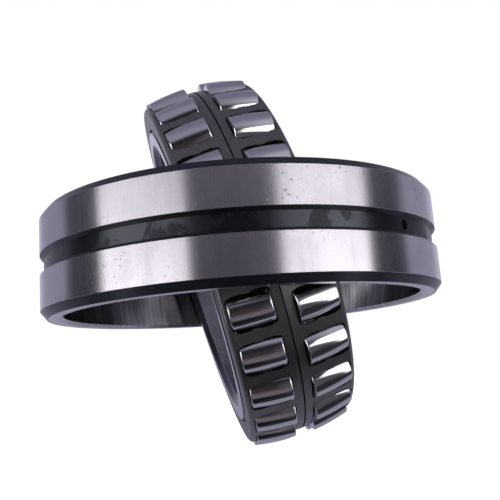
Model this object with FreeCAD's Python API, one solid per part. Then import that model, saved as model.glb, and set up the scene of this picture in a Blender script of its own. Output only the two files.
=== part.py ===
"""Spherical roller bearing, 120 x 180 x 46 mm, with its wheel swivelled out of the outer ring.

Millimetres. The origin is the centre of the spherical raceway and +Z is the outer ring's axis.
The wheel is the inner ring with its guide ring, cages and rollers. It is drawn about its own
Z axis, then turned about +Y by the swivel angle into the pose it rests in.
"""
import FreeCAD, Part
import math
import os

# Boundary sizes
BORE = 120.0
OUTSIDE = 180.0
WIDTH = 46.0

# How the wheel stands at rest
SWIVEL = 75.2
NEAR_ROW_PHASE = 0.23
FAR_ROW_PHASE = 3.30

# Rolling contact
SPHERE_R = 83.55
CONTACT_ANGLE = 8.75
ROLLERS_PER_ROW = 26
ROLLER_D = 15.0
ROLLER_L = 16.6
CROWN_R = 81.0
ROLLER_CORNER_R = 0.7
ROLLER_RECESS = (3.2, 0.5)
RUNNING_GAP = 0.05

# Outer ring
OUTER_CHAMFER = (3.3, 2.7)
RACEWAY_EDGE_Z = 21.6
SIDE_FACE_R = 82.0
GROOVE_HALF_MOUTH = 4.6
GROOVE_HALF_FLOOR = 3.1
GROOVE_DEPTH = 1.8
OIL_HOLE_D = 4.0
OIL_HOLES = 3
OIL_HOLE_AZIMUTH = -47.8

# Inner ring
INNER_CHAMFER = (2.6, 2.7)
RIB_R = 68.7
RIB_CHAMFER = (1.1, 0.6)
RIB_FLANK = 8.55
INNER_RACEWAY_R = 83.0

# Guide ring between the rows
GUIDE_BORE_R = 69.45
GUIDE_OUTER_R = 77.0
GUIDE_FLANK = 8.5

# Cages
CAGE_GAP = 0.6
TREAD_R_MIDDLE = 80.5
TREAD_R_SIDE = 78.95
TREAD_END_Z = 21.0
CAGE_SIDE_Z = 22.6
CAGE_SIDE_R = 77.3
BAND_THICKNESS = 2.8
FLANGE_THICKNESS = 1.7
FLANGE_BORE_R = 69.5
FLANGE_EDGE = 0.3

# Cage pockets, with their half width at two distances out from the axis
POCKET_HALF_LENGTH = 8.7
POCKET_INNER_X = 77.5
POCKET_INNER_HALF = 7.7
POCKET_OUTER_X = 80.5
POCKET_OUTER_HALF = 6.8
POCKET_OVERRUN = 2.5
POCKET_CORNER_R = 1.5
POCKET_EAR_DEPTH = 0.45
POCKET_EAR_SPAN = (1.6, 6.4)

# Values worked out from the sizes above
ANGLE = math.radians(CONTACT_ANGLE)
PITCH = 360.0 / ROLLERS_PER_ROW
HALF_WAY = math.sqrt(0.5)
ROLLER_CENTRE = SPHERE_R - RUNNING_GAP - ROLLER_D / 2

ORIGIN = FreeCAD.Vector(0, 0, 0)
X_AXIS = FreeCAD.Vector(1, 0, 0)
Y_AXIS = FreeCAD.Vector(0, 1, 0)
Z_AXIS = FreeCAD.Vector(0, 0, 1)


def polar_point(radius, height):
    """A point of a section, at a radius from the Z axis and a height along it."""
    return FreeCAD.Vector(radius, 0, height)


def line(start, end):
    return Part.LineSegment(start, end).toShape()


def arc(start, middle, end):
    return Part.Arc(start, middle, end).toShape()


def path(points):
    """Straight edges through a list of points."""
    return [line(start, end) for start, end in zip(points, points[1:])]


def turned(edges):
    """The solid of revolution of a closed section about the Z axis."""
    face = Part.Face(Part.Wire(edges))
    return face.revolve(ORIGIN, Z_AXIS, 360)


def row_point(across, along):
    """A section point of the upper row: across the rollers' axis, and along it from the middle."""
    radius = across * math.cos(ANGLE) - along * math.sin(ANGLE)
    height = across * math.sin(ANGLE) + along * math.cos(ANGLE)
    return polar_point(radius, height)


def row_point_at_radius(radius, along):
    """The section point at one radius on a plane that stands square to the rollers' axis."""
    across = (radius + along * math.sin(ANGLE)) / math.cos(ANGLE)
    return row_point(across, along)


def mirrored(point):
    return FreeCAD.Vector(point.x, point.y, -point.z)


def place_in_row(shape, azimuth, lower_row):
    """Move a shape drawn along Z at the origin to one roller's place in its row."""
    placed = shape.copy()
    placed.rotate(ORIGIN, Y_AXIS, -CONTACT_ANGLE)
    if lower_row:
        placed.rotate(ORIGIN, X_AXIS, 180)
    placed.rotate(ORIGIN, Z_AXIS, azimuth)
    return placed


def swivelled(shape):
    """Turn a piece of the wheel from the assembled pose to the one it rests in."""
    placed = shape.copy()
    placed.rotate(ORIGIN, Y_AXIS, SWIVEL)
    return placed


def outer_ring():
    half = WIDTH / 2
    outside = OUTSIDE / 2
    edge_r = math.sqrt(SPHERE_R ** 2 - RACEWAY_EDGE_Z ** 2)
    edges = path([
        polar_point(edge_r, RACEWAY_EDGE_Z),
        polar_point(SIDE_FACE_R, half),
        polar_point(outside - OUTER_CHAMFER[1], half),
        polar_point(outside, half - OUTER_CHAMFER[0]),
        polar_point(outside, GROOVE_HALF_MOUTH),
        polar_point(outside - GROOVE_DEPTH, GROOVE_HALF_FLOOR),
        polar_point(outside - GROOVE_DEPTH, -GROOVE_HALF_FLOOR),
        polar_point(outside, -GROOVE_HALF_MOUTH),
        polar_point(outside, OUTER_CHAMFER[0] - half),
        polar_point(outside - OUTER_CHAMFER[1], -half),
        polar_point(SIDE_FACE_R, -half),
        polar_point(edge_r, -RACEWAY_EDGE_Z),
    ])
    raceway = arc(
        polar_point(edge_r, -RACEWAY_EDGE_Z),
        polar_point(SPHERE_R, 0),
        polar_point(edge_r, RACEWAY_EDGE_Z),
    )
    ring = turned(edges + [raceway])
    drill = Part.makeCylinder(OIL_HOLE_D / 2, outside, ORIGIN, X_AXIS)
    for index in range(OIL_HOLES):
        hole = drill.copy()
        hole.rotate(ORIGIN, Z_AXIS, OIL_HOLE_AZIMUTH + index * 360.0 / OIL_HOLES)
        ring = ring.cut(hole)
    return ring


def inner_raceway(along):
    """The upper inner raceway: its distance out from the centre, at a place along the roller."""
    lowest = ROLLER_CENTRE - ROLLER_D / 2 - RUNNING_GAP
    rise = INNER_RACEWAY_R - math.sqrt(INNER_RACEWAY_R ** 2 - along ** 2)
    return row_point(lowest + rise, along)


def inner_ring():
    half = WIDTH / 2
    bore = BORE / 2
    upper = [
        polar_point(bore, half - INNER_CHAMFER[0]),
        polar_point(bore + INNER_CHAMFER[1], half),
        polar_point(RIB_R - RIB_CHAMFER[1], half),
        polar_point(RIB_R, half - RIB_CHAMFER[0]),
        row_point_at_radius(RIB_R, RIB_FLANK),
        inner_raceway(RIB_FLANK),
    ]
    race = [inner_raceway(RIB_FLANK), inner_raceway(0), inner_raceway(-RIB_FLANK)]
    lower = [mirrored(point) for point in reversed(upper)]
    lower_race = [mirrored(point) for point in reversed(race)]
    edges = path(upper)
    edges.append(arc(*race))
    edges.append(line(race[-1], lower_race[0]))
    edges.append(arc(*lower_race))
    edges += path(lower)
    edges.append(line(lower[-1], upper[0]))
    return turned(edges)


def guide_ring():
    inner = row_point_at_radius(GUIDE_BORE_R, -GUIDE_FLANK)
    outer = row_point_at_radius(GUIDE_OUTER_R, -GUIDE_FLANK)
    corners = [inner, outer, mirrored(outer), mirrored(inner), inner]
    return turned(path(corners))


def roller():
    """One barrel roller, drawn with its axis along Z and standing out along X."""
    end = ROLLER_L / 2
    crown_centre_x = ROLLER_D / 2 - CROWN_R
    corner_z = end - ROLLER_CORNER_R
    reach = CROWN_R - ROLLER_CORNER_R
    corner_x = crown_centre_x + math.sqrt(reach ** 2 - corner_z ** 2)
    lean = math.asin(corner_z / reach)
    turn = (lean + math.pi / 2) / 2
    crown_end = polar_point(crown_centre_x + CROWN_R * math.cos(lean), CROWN_R * math.sin(lean))
    corner_middle = polar_point(
        corner_x + ROLLER_CORNER_R * math.cos(turn),
        corner_z + ROLLER_CORNER_R * math.sin(turn),
    )
    recess_r, recess_depth = ROLLER_RECESS
    upper = [
        polar_point(0, end - recess_depth),
        polar_point(recess_r - recess_depth, end - recess_depth),
        polar_point(recess_r, end),
        polar_point(corner_x, end),
    ]
    lower = [mirrored(point) for point in reversed(upper)]
    edges = path(upper)
    edges.append(arc(upper[-1], corner_middle, crown_end))
    edges.append(arc(crown_end, polar_point(ROLLER_D / 2, 0), mirrored(crown_end)))
    edges.append(arc(mirrored(crown_end), mirrored(corner_middle), lower[0]))
    edges += path(lower)
    edges.append(line(lower[-1], upper[0]))
    barrel = turned(edges)
    barrel.translate(X_AXIS * ROLLER_CENTRE)
    return barrel


def pocket_prism(widening, start, end):
    """A wedge that narrows outwards, along Z from start to end, each side moved out by the widening."""
    slope = (POCKET_OUTER_HALF - POCKET_INNER_HALF) / (POCKET_OUTER_X - POCKET_INNER_X)
    low_x = POCKET_INNER_X - POCKET_OVERRUN
    high_x = POCKET_OUTER_X + POCKET_OVERRUN
    low_half = POCKET_INNER_HALF - slope * POCKET_OVERRUN + widening
    high_half = POCKET_OUTER_HALF + slope * POCKET_OVERRUN + widening
    corners = [
        FreeCAD.Vector(low_x, -low_half, start),
        FreeCAD.Vector(high_x, -high_half, start),
        FreeCAD.Vector(high_x, high_half, start),
        FreeCAD.Vector(low_x, low_half, start),
        FreeCAD.Vector(low_x, -low_half, start),
    ]
    face = Part.Face(Part.makePolygon(corners))
    return face.extrude(Z_AXIS * (end - start))


def pocket_cutter():
    """The window for one roller: rounded corners, and ears each side of a middle nib."""
    window = pocket_prism(0, -POCKET_HALF_LENGTH, POCKET_HALF_LENGTH)
    corner_edges = []
    for edge in window.Edges:
        run = edge.Vertexes[1].Point - edge.Vertexes[0].Point
        if abs(run.x) > max(abs(run.y), abs(run.z)):
            corner_edges.append(edge)
    window = window.makeFillet(POCKET_CORNER_R, corner_edges)
    near_end, far_end = POCKET_EAR_SPAN
    for start, end in ((near_end, far_end), (-far_end, -near_end)):
        window = window.fuse(pocket_prism(POCKET_EAR_DEPTH, start, end))
    return window


def cage(lower_row, phase):
    """A window cage: a conical band with pockets, bent in to a side flange."""
    middle_z = CAGE_GAP / 2
    band_in_middle = TREAD_R_MIDDLE - BAND_THICKNESS
    band_in_side = TREAD_R_SIDE - BAND_THICKNESS
    flange_z = CAGE_SIDE_Z - FLANGE_THICKNESS
    corner_r = CAGE_SIDE_R + (TREAD_R_SIDE - CAGE_SIDE_R) * HALF_WAY
    corner_z = TREAD_END_Z + (CAGE_SIDE_Z - TREAD_END_Z) * HALF_WAY
    edges = path([
        polar_point(band_in_side, flange_z),
        polar_point(band_in_middle, middle_z),
        polar_point(TREAD_R_MIDDLE, middle_z),
        polar_point(TREAD_R_SIDE, TREAD_END_Z),
    ])
    edges.append(arc(
        polar_point(TREAD_R_SIDE, TREAD_END_Z),
        polar_point(corner_r, corner_z),
        polar_point(CAGE_SIDE_R, CAGE_SIDE_Z),
    ))
    edges += path([
        polar_point(CAGE_SIDE_R, CAGE_SIDE_Z),
        polar_point(FLANGE_BORE_R + FLANGE_EDGE, CAGE_SIDE_Z),
        polar_point(FLANGE_BORE_R, CAGE_SIDE_Z - FLANGE_EDGE),
        polar_point(FLANGE_BORE_R, flange_z),
        polar_point(band_in_side, flange_z),
    ])
    shell = turned(edges)
    if lower_row:
        shell.rotate(ORIGIN, X_AXIS, 180)
    cutter = pocket_cutter()
    windows = [
        place_in_row(cutter, phase + index * PITCH, lower_row)
        for index in range(ROLLERS_PER_ROW)
    ]
    return shell.cut(windows)


def export(name, shape):
    if not shape.isValid() or len(shape.Solids) != 1:
        raise ValueError("not one valid solid: " + name)
    shape.Solids[0].exportStep("parts/" + name + ".step")


def main():
    os.makedirs("parts", exist_ok=True)
    export("outer_ring", outer_ring())
    export("inner_ring", swivelled(inner_ring()))
    export("guide_ring", swivelled(guide_ring()))
    barrel = roller()
    for row, lower_row, phase in (("near", True, NEAR_ROW_PHASE), ("far", False, FAR_ROW_PHASE)):
        export("cage_" + row, swivelled(cage(lower_row, phase)))
        for index in range(ROLLERS_PER_ROW):
            placed = place_in_row(barrel, phase + index * PITCH, lower_row)
            export("%s_roller_%02d" % (row, index + 1), swivelled(placed))


main()
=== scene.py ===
"""Looks of a spherical roller bearing, its wheel swung out of the outer ring. Metres, CAD frame."""

import math

import bpy
from mathutils import Matrix, Vector


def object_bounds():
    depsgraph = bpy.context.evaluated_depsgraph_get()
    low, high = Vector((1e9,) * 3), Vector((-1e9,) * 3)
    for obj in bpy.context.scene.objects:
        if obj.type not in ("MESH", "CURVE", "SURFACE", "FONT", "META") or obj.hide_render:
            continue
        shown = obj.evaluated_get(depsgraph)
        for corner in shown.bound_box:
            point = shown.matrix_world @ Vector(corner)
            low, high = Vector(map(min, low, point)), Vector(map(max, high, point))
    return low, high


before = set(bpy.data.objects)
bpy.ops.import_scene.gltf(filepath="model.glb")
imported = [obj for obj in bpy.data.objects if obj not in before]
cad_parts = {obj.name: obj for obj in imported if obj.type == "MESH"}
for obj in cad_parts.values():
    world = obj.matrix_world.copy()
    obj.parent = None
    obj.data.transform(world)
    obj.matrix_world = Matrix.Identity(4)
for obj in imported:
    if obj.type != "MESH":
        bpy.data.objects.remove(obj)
cad_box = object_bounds()

MICRON = 0.000001

# ---------------------------------------------------------------- sizes of the CAD part
OUTER_R = 0.090
CHAMFER_R = 0.0867
RACEWAY_R = 0.0836
HALF_WIDTH = 0.023
GROOVE_HALF = 0.0046
BORE_R = 0.060
BORE_EDGE_R = 0.0627
RIB_FACE_R = 0.0681
RIB_EDGE_Z = 0.0219
SWIVEL = math.radians(75.2)
WHEEL_AXIS = Vector((math.sin(SWIVEL), 0.0, math.cos(SWIVEL)))
FLOOR_Z = cad_box[0].z - 200 * MICRON
FLOOR_HALF_SIZE = 4.0
FLOOR_GLOW = 1.0

# ---------------------------------------------------------------- camera
SENSOR_MM = 36.0
LENS_MM = 52.22
CAMERA_SHIFT = (-0.0420, -0.0452)
CAMERA_PLACE = (-0.031962, -0.335095, -0.054785)
CAMERA_RIGHT = Vector((0.989228, -0.123875, -0.077995))
CAMERA_UP = Vector((0.050499, -0.211316, 0.976112))
CAMERA_FORWARD = Vector((0.137398, 0.969536, 0.202784))


# ---------------------------------------------------------------- node helpers
class Nodes:
    """Short ways to add and join shader nodes."""

    def __init__(self, tree):
        self.tree = tree

    def new(self, kind, **settings):
        node = self.tree.nodes.new(kind)
        for name, value in settings.items():
            setattr(node, name, value)
        return node

    def put(self, socket, value):
        if isinstance(value, bpy.types.NodeSocket):
            self.tree.links.new(value, socket)
        else:
            socket.default_value = value

    def math(self, operation, a, b=0.0):
        node = self.new("ShaderNodeMath", operation=operation)
        self.put(node.inputs[0], a)
        self.put(node.inputs[1], b)
        return node.outputs[0]

    def times(self, a, b):
        return self.math("MULTIPLY", a, b)

    def plus(self, a, b):
        return self.math("ADD", a, b)

    def minus(self, a, b):
        return self.math("SUBTRACT", a, b)

    def vector(self, operation, a, b=None):
        node = self.new("ShaderNodeVectorMath", operation=operation)
        self.put(node.inputs[0], a)
        if b is not None:
            self.put(node.inputs[1], b)
        scalar = operation in ("DOT_PRODUCT", "LENGTH")
        return node.outputs["Value" if scalar else "Vector"]

    def scaled(self, vector, factor):
        node = self.new("ShaderNodeVectorMath", operation="SCALE")
        self.put(node.inputs[0], vector)
        self.put(node.inputs["Scale"], factor)
        return node.outputs["Vector"]

    def ramp(self, value, low, high, to_low=0.0, to_high=1.0):
        node = self.new("ShaderNodeMapRange", interpolation_type="SMOOTHSTEP")
        for socket, number in zip(node.inputs, (value, low, high, to_low, to_high)):
            self.put(socket, number)
        return node.outputs[0]

    def mix(self, factor, a, b):
        node = self.new("ShaderNodeMix", data_type="RGBA")
        self.put(node.inputs[0], factor)
        self.put(node.inputs[6], a)
        self.put(node.inputs[7], b)
        return node.outputs[2]

    def blend(self, factor, a, b):
        node = self.new("ShaderNodeMix", data_type="FLOAT")
        self.put(node.inputs[0], factor)
        self.put(node.inputs[2], a)
        self.put(node.inputs[3], b)
        return node.outputs[0]

    def noise(self, vector, scale, detail=2.0, roughness=0.5, distortion=0.0):
        node = self.new("ShaderNodeTexNoise")
        self.put(node.inputs["Vector"], vector)
        node.inputs["Scale"].default_value = scale
        node.inputs["Detail"].default_value = detail
        node.inputs["Roughness"].default_value = roughness
        node.inputs["Distortion"].default_value = distortion
        return node.outputs["Fac"]

    def combine(self, x, y, z):
        node = self.new("ShaderNodeCombineXYZ")
        for socket, value in zip(node.inputs, (x, y, z)):
            self.put(socket, value)
        return node.outputs[0]

    def split(self, vector):
        node = self.new("ShaderNodeSeparateXYZ")
        self.put(node.inputs[0], vector)
        return node.outputs

    def bump(self, height, strength, distance):
        node = self.new("ShaderNodeBump")
        node.inputs["Strength"].default_value = strength
        node.inputs["Distance"].default_value = distance
        self.put(node.inputs["Height"], height)
        return node.outputs[0]


def rgb(r, g, b):
    return (r, g, b, 1.0)


def steel(name, metallic=1.0, anisotropic=0.0):
    """A new material with its principled shader, and the helper for its nodes."""
    material = bpy.data.materials.new(name)
    material.use_nodes = True
    nodes = Nodes(material.node_tree)
    shader = material.node_tree.nodes["Principled BSDF"]
    shader.inputs["Metallic"].default_value = metallic
    shader.inputs["Anisotropic"].default_value = anisotropic
    return material, nodes, shader


def ring_coordinates(nodes, axis):
    """The object point, its place along the axis, its distance from it, and the vector out to it."""
    point = nodes.new("ShaderNodeTexCoord").outputs["Object"]
    along = nodes.vector("DOT_PRODUCT", point, tuple(axis))
    flat = nodes.vector("SUBTRACT", point, nodes.scaled(tuple(axis), along))
    radius = nodes.vector("LENGTH", flat)
    return point, along, radius, flat


# ---------------------------------------------------------------- outer ring
def outer_ring_material():
    material, n, shader = steel("outer_ring_finish", anisotropic=0.92)
    shader.inputs["Anisotropic Rotation"].default_value = 0.25
    point, along, radius, flat = ring_coordinates(n, (0.0, 0.0, 1.0))
    height = n.math("ABSOLUTE", along)
    x, y, _ = n.split(flat)
    angle = n.math("ARCTAN2", y, x)

    on_outside = n.ramp(radius, OUTER_R - 160 * MICRON, OUTER_R - 80 * MICRON)
    at_side = n.ramp(height, HALF_WIDTH - 90 * MICRON, HALF_WIDTH - 30 * MICRON)
    on_face = n.times(at_side, n.ramp(radius, CHAMFER_R + 60 * MICRON, CHAMFER_R))
    in_raceway = n.ramp(radius, RACEWAY_R + 60 * MICRON, RACEWAY_R)
    ground = n.math("MAXIMUM", on_outside, n.math("MAXIMUM", on_face, in_raceway))

    # Ground steel: fine marks round the ring, upright handling streaks, speckle, and clusters of pits.
    around = n.times(angle, OUTER_R)

    def drawn_out(per_metre_round, per_metre_along):
        return n.combine(n.times(around, per_metre_round), n.times(along, per_metre_along), radius)

    marks = n.noise(drawn_out(60.0, 2600.0), 1.0, 3.0)
    upright = n.noise(drawn_out(900.0, 40.0), 1.0, 3.0)
    broad = n.noise(drawn_out(210.0, 12.0), 1.0, 4.0, 0.6)
    clouds = n.noise(point, 42.0, 5.0, 0.62)
    speckle = n.noise(point, 1900.0, 3.0, 0.75)
    pits = n.ramp(n.noise(point, 620.0, 2.0, 0.6), 0.63, 0.69)
    patchy = n.ramp(n.noise(point, 24.0, 2.0), 0.50, 0.66)
    pits = n.times(pits, patchy)
    ground_colour = n.mix(n.ramp(clouds, 0.30, 0.70), rgb(0.575, 0.56, 0.595), rgb(0.69, 0.675, 0.71))
    speckled = n.times(n.ramp(speckle, 0.35, 0.75), 0.22)
    ground_colour = n.mix(speckled, ground_colour, rgb(0.40, 0.39, 0.41))
    handled = n.times(n.ramp(broad, 0.45, 0.75), 0.20)
    ground_colour = n.mix(handled, ground_colour, rgb(0.44, 0.43, 0.45))
    ground_colour = n.mix(n.times(pits, 0.75), ground_colour, rgb(0.13, 0.12, 0.13))
    lapped = n.mix(n.ramp(upright, 0.35, 0.65), rgb(0.36, 0.35, 0.365), rgb(0.60, 0.59, 0.61))
    ground_colour = n.mix(in_raceway, ground_colour, lapped)

    # Turned and hardened steel: dark blue-grey scale with blotches.
    blotch = n.ramp(n.noise(point, 62.0, 5.0, 0.62, 0.6), 0.50, 0.545)
    grain = n.noise(point, 900.0, 3.0, 0.7)
    scale_colour = n.mix(blotch, rgb(0.070, 0.076, 0.088), rgb(0.036, 0.038, 0.045))
    scale_colour = n.mix(n.times(grain, 0.3), scale_colour, rgb(0.13, 0.135, 0.155))
    turned_colour = n.mix(grain, rgb(0.040, 0.042, 0.055), rgb(0.085, 0.088, 0.112))
    in_groove = n.ramp(height, GROOVE_HALF + 400 * MICRON, GROOVE_HALF)
    scale_colour = n.mix(in_groove, turned_colour, scale_colour)

    colour = n.mix(ground, scale_colour, ground_colour)
    n.put(shader.inputs["Base Color"], colour)

    rough_ground = n.plus(0.27, n.times(n.minus(broad, 0.5), 0.12))
    rough_ground = n.blend(in_raceway, rough_ground, 0.19)
    rough_ground = n.blend(on_face, rough_ground, 0.20)
    rough_scale = n.blend(in_groove, 0.30, n.plus(0.36, n.times(blotch, 0.10)))
    n.put(shader.inputs["Roughness"], n.blend(ground, rough_scale, rough_ground))

    relief = n.plus(n.times(marks, 0.5), n.times(upright, 0.30))
    relief = n.plus(relief, n.times(speckle, 0.55))
    relief = n.minus(relief, n.times(pits, 5.0))
    relief = n.blend(ground, n.times(grain, 3.0), relief)
    n.put(shader.inputs["Normal"], n.bump(relief, 0.35, 20 * MICRON))
    tangent = n.new("ShaderNodeTangent", direction_type="RADIAL", axis="Z")
    n.put(shader.inputs["Tangent"], tangent.outputs[0])
    return material


# ---------------------------------------------------------------- inner ring
def inner_ring_material():
    material, n, shader = steel("inner_ring_finish")
    point, along, radius, _ = ring_coordinates(n, WHEEL_AXIS)
    height = n.math("ABSOLUTE", along)
    clouds = n.noise(point, 45.0, 4.0, 0.6)
    lay = n.noise(n.combine(n.times(radius, 3200.0), n.times(along, 2400.0), 0.0), 1.0, 3.0)
    grain = n.noise(point, 900.0, 3.0, 0.7)

    off_bore = n.ramp(radius, BORE_R + 80 * MICRON, BORE_R + 160 * MICRON)
    off_face = n.ramp(height, HALF_WIDTH - 60 * MICRON, HALF_WIDTH - 120 * MICRON)
    near_bore = n.ramp(radius, BORE_EDGE_R + 100 * MICRON, BORE_EDGE_R)
    at_bore_edge = n.times(near_bore, n.times(off_bore, off_face))
    near_side = n.ramp(height, RIB_EDGE_Z - 100 * MICRON, RIB_EDGE_Z)
    at_rib_edge = n.times(near_side, n.ramp(radius, RIB_FACE_R, RIB_FACE_R + 100 * MICRON))
    at_rib_edge = n.times(at_rib_edge, off_face)
    turned = n.math("MAXIMUM", at_bore_edge, at_rib_edge)

    ground_colour = n.mix(clouds, rgb(0.60, 0.585, 0.63), rgb(0.70, 0.685, 0.73))
    turned_colour = n.mix(grain, rgb(0.060, 0.064, 0.088), rgb(0.105, 0.110, 0.145))
    # Painted shade: the rib's outer edge, in the narrow gap under the cage flange, is darkened to near
    # black on top of its turned colour.
    turned_colour = n.mix(at_rib_edge, turned_colour, rgb(0.022, 0.023, 0.030))
    n.put(shader.inputs["Base Color"], n.mix(turned, ground_colour, turned_colour))
    n.put(shader.inputs["Roughness"], n.blend(turned, n.plus(0.20, n.times(clouds, 0.08)), 0.30))
    n.put(shader.inputs["Normal"], n.bump(lay, 0.03, 10 * MICRON))
    return material


def guide_ring_material():
    material, n, shader = steel("guide_ring_finish")
    _, along, radius, _ = ring_coordinates(n, WHEEL_AXIS)
    lay = n.noise(n.combine(n.times(radius, 2800.0), n.times(along, 2800.0), 0.0), 1.0, 3.0)
    n.put(shader.inputs["Base Color"], n.mix(lay, rgb(0.40, 0.39, 0.43), rgb(0.50, 0.49, 0.53)))
    n.put(shader.inputs["Roughness"], n.plus(0.26, n.times(lay, 0.08)))
    n.put(shader.inputs["Normal"], n.bump(lay, 0.3, 10 * MICRON))
    return material


# ---------------------------------------------------------------- cages
def cage_material():
    material, n, shader = steel("cage_finish", metallic=0.0)
    shader.inputs["IOR"].default_value = 2.2
    point, _, _, _ = ring_coordinates(n, WHEEL_AXIS)
    mottle = n.noise(point, 120.0, 5.0, 0.65)
    grain = n.noise(point, 1500.0, 3.0, 0.7)
    specks = n.ramp(n.noise(point, 1100.0, 2.0, 0.5), 0.62, 0.72)
    colour = n.mix(mottle, rgb(0.020, 0.021, 0.018), rgb(0.048, 0.050, 0.044))
    colour = n.mix(n.times(specks, 0.45), colour, rgb(0.19, 0.19, 0.18))
    n.put(shader.inputs["Base Color"], colour)
    n.put(shader.inputs["Roughness"], n.plus(0.28, n.times(mottle, 0.14)))
    n.put(shader.inputs["Normal"], n.bump(grain, 0.60, 40 * MICRON))
    return material


# ---------------------------------------------------------------- rollers
def roller_material():
    material, n, shader = steel("roller_finish")
    point = n.new("ShaderNodeTexCoord").outputs["Object"]
    clouds = n.noise(point, 90.0, 3.0, 0.5)
    hair = n.noise(point, 1400.0, 2.0, 0.5)
    n.put(shader.inputs["Base Color"], n.mix(clouds, rgb(0.56, 0.555, 0.585), rgb(0.64, 0.63, 0.66)))
    n.put(shader.inputs["Roughness"], n.plus(0.07, n.times(clouds, 0.05)))
    n.put(shader.inputs["Normal"], n.bump(hair, 0.12, 6 * MICRON))
    return material


def finish_nodes():
    """Gives each CAD node its finish."""
    ring, inner, guide = outer_ring_material(), inner_ring_material(), guide_ring_material()
    cage, roller = cage_material(), roller_material()
    for name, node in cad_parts.items():
        if name == "outer_ring":
            material = ring
        elif name == "inner_ring":
            material = inner
        elif name == "guide_ring":
            material = guide
        elif name.startswith("cage"):
            material = cage
        else:
            material = roller
        for slot in node.material_slots:
            slot.material = material


# ---------------------------------------------------------------- studio
VIEW_BACK = Vector((-0.1403, -0.9901, 0.0))
VIEW_RIGHT = Vector((0.9901, -0.1403, 0.0))


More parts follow.
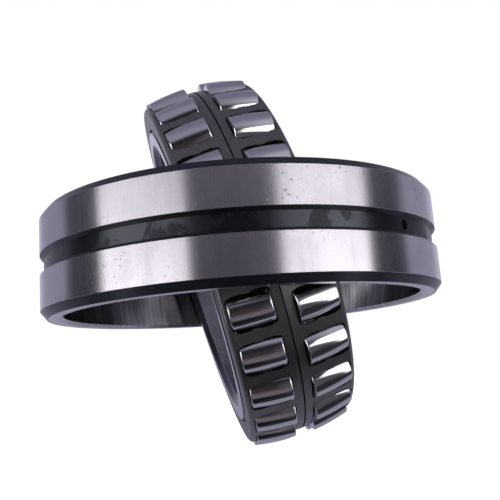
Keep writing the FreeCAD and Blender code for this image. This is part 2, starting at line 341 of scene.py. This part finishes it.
def studio_world():
    """A studio painted by direction, which the camera itself sees as plain white.

    Azimuth 0 is behind the camera and grows to its right. Both angles are in degrees.
    """
    world = bpy.data.worlds.new("studio")
    bpy.context.scene.world = world
    world.use_nodes = True
    tree = world.node_tree
    tree.nodes.clear()
    n = Nodes(tree)
    direction = n.new("ShaderNodeTexCoord").outputs["Generated"]
    azimuth = n.math("ARCTAN2", n.vector("DOT_PRODUCT", direction, tuple(VIEW_RIGHT)),
                     n.vector("DOT_PRODUCT", direction, tuple(VIEW_BACK)))
    azimuth = n.times(azimuth, 180.0 / math.pi)
    _, _, up = n.split(direction)
    elevation = n.times(n.math("ARCSINE", up), 180.0 / math.pi)
    side = n.math("ABSOLUTE", azimuth)

    def band(value, low, high, soft_low, soft_high):
        rise = n.ramp(value, low - soft_low, low + soft_low)
        fall = n.ramp(value, high - soft_high, high + soft_high, 1.0, 0.0)
        return n.times(rise, fall)

    def patch(colour, mask, paint, strength=1.0):
        if strength != 1.0:
            mask = n.times(mask, strength)
        return n.mix(mask, colour, paint)

    # Dark room, then the pale ceiling over it and the backdrop round the far side.
    streaks = n.noise(n.combine(n.times(azimuth, 0.05), n.times(elevation, 0.45), 0.0), 1.0, 3.0)
    warm = n.ramp(streaks, 0.40, 0.62)
    room = n.mix(warm, rgb(0.036, 0.033, 0.036), rgb(0.078, 0.054, 0.058))
    room = n.mix(n.ramp(elevation, -22.0, -36.0), room, rgb(0.125, 0.106, 0.116))
    room = n.mix(n.ramp(elevation, -12.0, 2.0), room, rgb(0.028, 0.027, 0.033))
    right_low = n.times(n.ramp(azimuth, 6.0, 20.0), n.ramp(elevation, 10.0, -6.0))
    room = n.mix(right_low, room, rgb(0.112, 0.106, 0.116))
    colour = patch(room, n.ramp(elevation, 12.0, 34.0), rgb(0.35, 0.335, 0.42))
    colour = patch(colour, n.ramp(elevation, 48.0, 76.0), rgb(0.245, 0.235, 0.315))
    ceiling_light = n.times(band(azimuth, 26.0, 70.0, 14.0, 20.0), band(elevation, 14.0, 46.0, 4.0, 12.0))
    colour = patch(colour, ceiling_light, rgb(0.62, 0.60, 0.70), 0.9)
    front = n.times(band(azimuth, -40.0, 34.0, 14.0, 7.0), band(elevation, -60.0, -37.0, 3.0, 6.0))
    colour = patch(colour, front, rgb(0.195, 0.170, 0.195))
    colour = patch(colour, n.ramp(elevation, -58.0, -66.0), rgb(0.014, 0.013, 0.018))
    low_sides = n.times(band(side, 46.0, 100.0, 6.0, 6.0), n.ramp(elevation, -28.0, -44.0))
    colour = patch(colour, low_sides, rgb(0.035, 0.034, 0.042))
    side_gap = n.times(band(side, 79.0, 105.0, 2.0, 2.0), band(elevation, -34.0, 15.0, 6.0, 6.0))
    colour = patch(colour, side_gap, rgb(0.026, 0.026, 0.030))
    below_table = n.math("MINIMUM", n.plus(elevation, 40.0), 0.0)
    table_edge = n.plus(side, n.times(below_table, 0.45))
    backdrop = n.times(n.ramp(table_edge, 102.0, 110.0), n.ramp(elevation, -84.0, -72.0))
    colour = patch(colour, backdrop, rgb(0.35, 0.335, 0.435))
    backdrop_light = n.times(n.ramp(side, 136.0, 156.0), band(elevation, 3.0, 40.0, 6.0, 12.0))
    colour = patch(colour, backdrop_light, rgb(0.66, 0.645, 0.80))
    upper_back = n.times(n.ramp(side, 102.0, 108.0), n.ramp(elevation, 30.0, 60.0))
    colour = patch(colour, upper_back, rgb(0.23, 0.22, 0.30))

    # Soft boxes: a hard far edge, a slanting soft near edge.
    lower_edge = n.plus(side, n.times(elevation, 1.5))
    box_mask = n.times(n.ramp(side, 22.0, 27.0), n.ramp(side, 77.5, 75.5))
    box_mask = n.times(box_mask, n.ramp(lower_edge, 13.0, 20.0))
    box_mask = n.times(box_mask, band(elevation, -36.0, 12.0, 2.5, 2.5))
    colour = patch(colour, box_mask, rgb(2.55, 2.48, 2.55))

    seen = n.new("ShaderNodeLightPath").outputs["Is Camera Ray"]
    colour = n.mix(seen, colour, rgb(1.0, 1.0, 1.0))
    background = n.new("ShaderNodeBackground")
    n.put(background.inputs["Color"], colour)
    n.put(n.new("ShaderNodeOutputWorld").inputs["Surface"], background.outputs[0])


def floor():
    """A plain white floor under the wheel. It glows, and stays out of reflections."""
    mesh = bpy.data.meshes.new("floor")
    size = FLOOR_HALF_SIZE
    corners = [(x * size, y * size, FLOOR_Z) for x, y in ((-1, -1), (1, -1), (1, 1), (-1, 1))]
    mesh.from_pydata(corners, [], [(0, 1, 2, 3)])
    obj = bpy.data.objects.new("floor", mesh)
    bpy.context.scene.collection.objects.link(obj)
    material = bpy.data.materials.new("floor_white")
    material.use_nodes = True
    shader = material.node_tree.nodes["Principled BSDF"]
    shader.inputs["Base Color"].default_value = rgb(0.85, 0.85, 0.86)
    shader.inputs["Roughness"].default_value = 0.9
    shader.inputs["Specular IOR Level"].default_value = 0.0
    shader.inputs["Emission Color"].default_value = rgb(1.0, 1.0, 1.0)
    shader.inputs["Emission Strength"].default_value = FLOOR_GLOW
    mesh.materials.append(material)
    obj.visible_glossy = False
    obj.visible_diffuse = False


def camera():
    """The camera, low and in front, looking slightly up."""
    data = bpy.data.cameras.new("camera")
    data.sensor_width = SENSOR_MM
    data.lens = LENS_MM
    data.shift_x, data.shift_y = CAMERA_SHIFT
    data.clip_start = 0.01
    data.clip_end = 50.0
    obj = bpy.data.objects.new("camera", data)
    bpy.context.scene.collection.objects.link(obj)
    turn = Matrix((CAMERA_RIGHT, CAMERA_UP, -CAMERA_FORWARD)).transposed().to_4x4()
    obj.matrix_world = Matrix.Translation(CAMERA_PLACE) @ turn
    bpy.context.scene.camera = obj


finish_nodes()
studio_world()
floor()
camera()
bpy.context.scene.view_settings.view_transform = "Standard"
